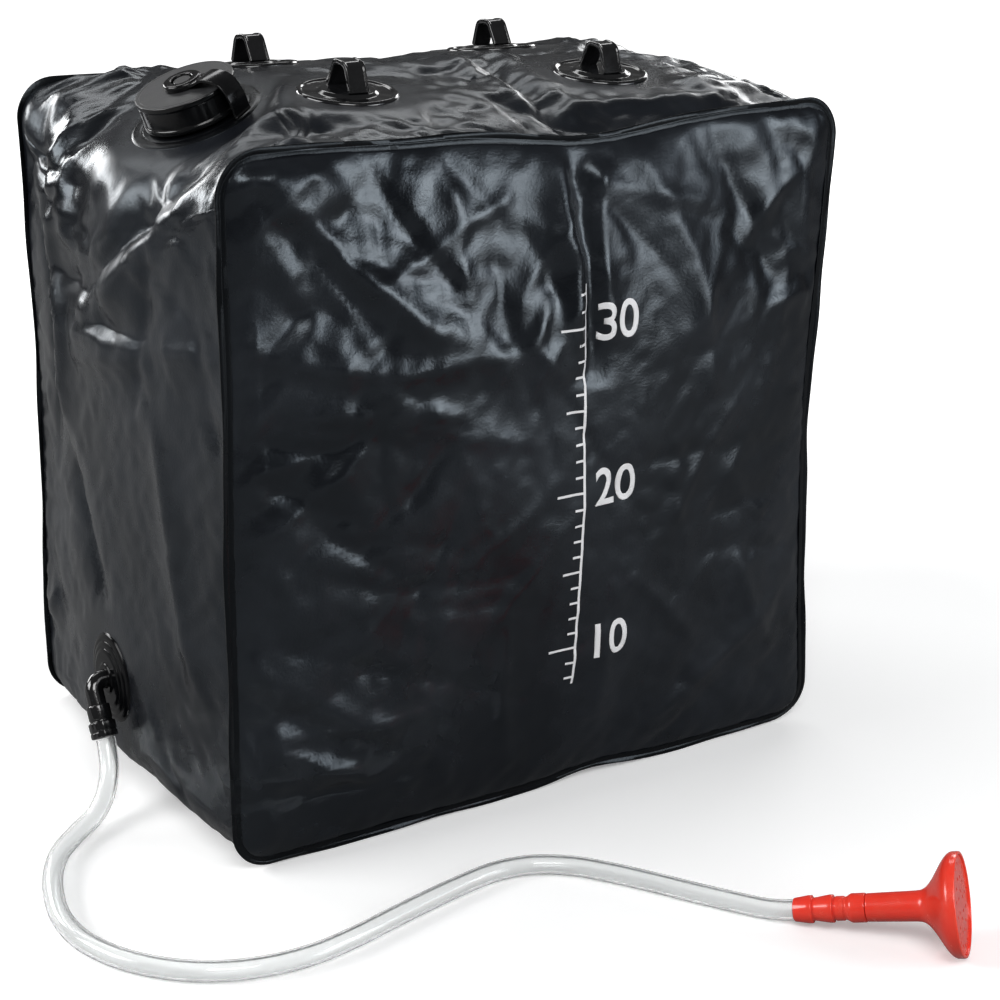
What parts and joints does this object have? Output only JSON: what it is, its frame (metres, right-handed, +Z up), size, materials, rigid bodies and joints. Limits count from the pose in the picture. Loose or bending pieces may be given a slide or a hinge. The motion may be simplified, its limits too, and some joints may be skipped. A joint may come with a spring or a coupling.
{
  "type": "camp shower bag",
  "caption": "Box-shaped water bag of black vinyl film with a screw filler cap, carry loops, an elbow outlet, a clear hose and a red push-pull shower head.",
  "frame": {"origin": "middle of the flat the bag rests on, on the ground", "axes": "+Z up; -Y is the front panel; -X is the wall with the outlet"},
  "size_m": [0.5123, 0.5638, 0.4241],
  "materials": {
    "film": "soft vinyl film, glossy, creased",
    "cap": "satin moulded plastic",
    "fitting": "gloss moulded plastic",
    "seal": "soft rubber",
    "hose": "clear vinyl tube",
    "head": "gloss moulded plastic"
  },
  "bodies": {
    "bag": {"front_panel": "film", "back_panel": "film", "top_wall": "film", "left_wall": "film", "right_wall": "film", "base_wall": "film", "filler_flange": "film", "filler_neck": "fitting", "outlet_flange": "fitting", "outlet_seal": "seal", "outlet_nut": "fitting", "hose": "hose", "valve_stem": "head", "stem_o_ring": "seal", "loop_patch_front_left": "fitting", "carry_loop_front_left": "fitting", "loop_patch_front_right": "fitting", "carry_loop_front_right": "fitting", "loop_patch_back_left": "fitting", "carry_loop_back_left": "fitting", "loop_patch_back_right": "fitting", "carry_loop_back_right": "fitting"},
    "strap": {"tether_strap": "fitting"},
    "cap": {"filler_cap": "cap", "cap_gasket": "seal"},
    "elbow": {"outlet_elbow": "fitting", "elbow_o_ring": "seal", "hose_collar": "fitting"},
    "shower_head": {"head_shell": "head", "spray_plate": "head"}
  },
  "joints": [
    {"name": "cap_lift", "type": "slide", "parent": "bag", "child": "strap", "axis": [-0.3739, -0.061, 0.9255], "range_m": [0, 0.0045], "deforming": ["tether_strap"]},
    {"name": "cap_turn", "type": "hinge", "parent": "strap", "child": "cap", "pos_m": [-0.148, -0.006, 0.3895], "axis": [-0.3739, -0.061, 0.9255], "range_deg": [0, 540]},
    {"name": "elbow_swivel", "type": "hinge", "parent": "bag", "child": "elbow", "pos_m": [-0.2085, 0, 0.069], "axis": [1, 0, 0], "range_deg": [-60, 120], "deforming": ["hose"]},
    {"name": "head_valve", "type": "slide", "parent": "bag", "child": "shower_head", "axis": [0.6273, -0.7475, 0.2184], "range_m": [0, 0.008]}
  ],
  "couplings": [
    {"joint": "cap_lift", "follows": "cap_turn", "m_per_rad": 0.000477}
  ]
}
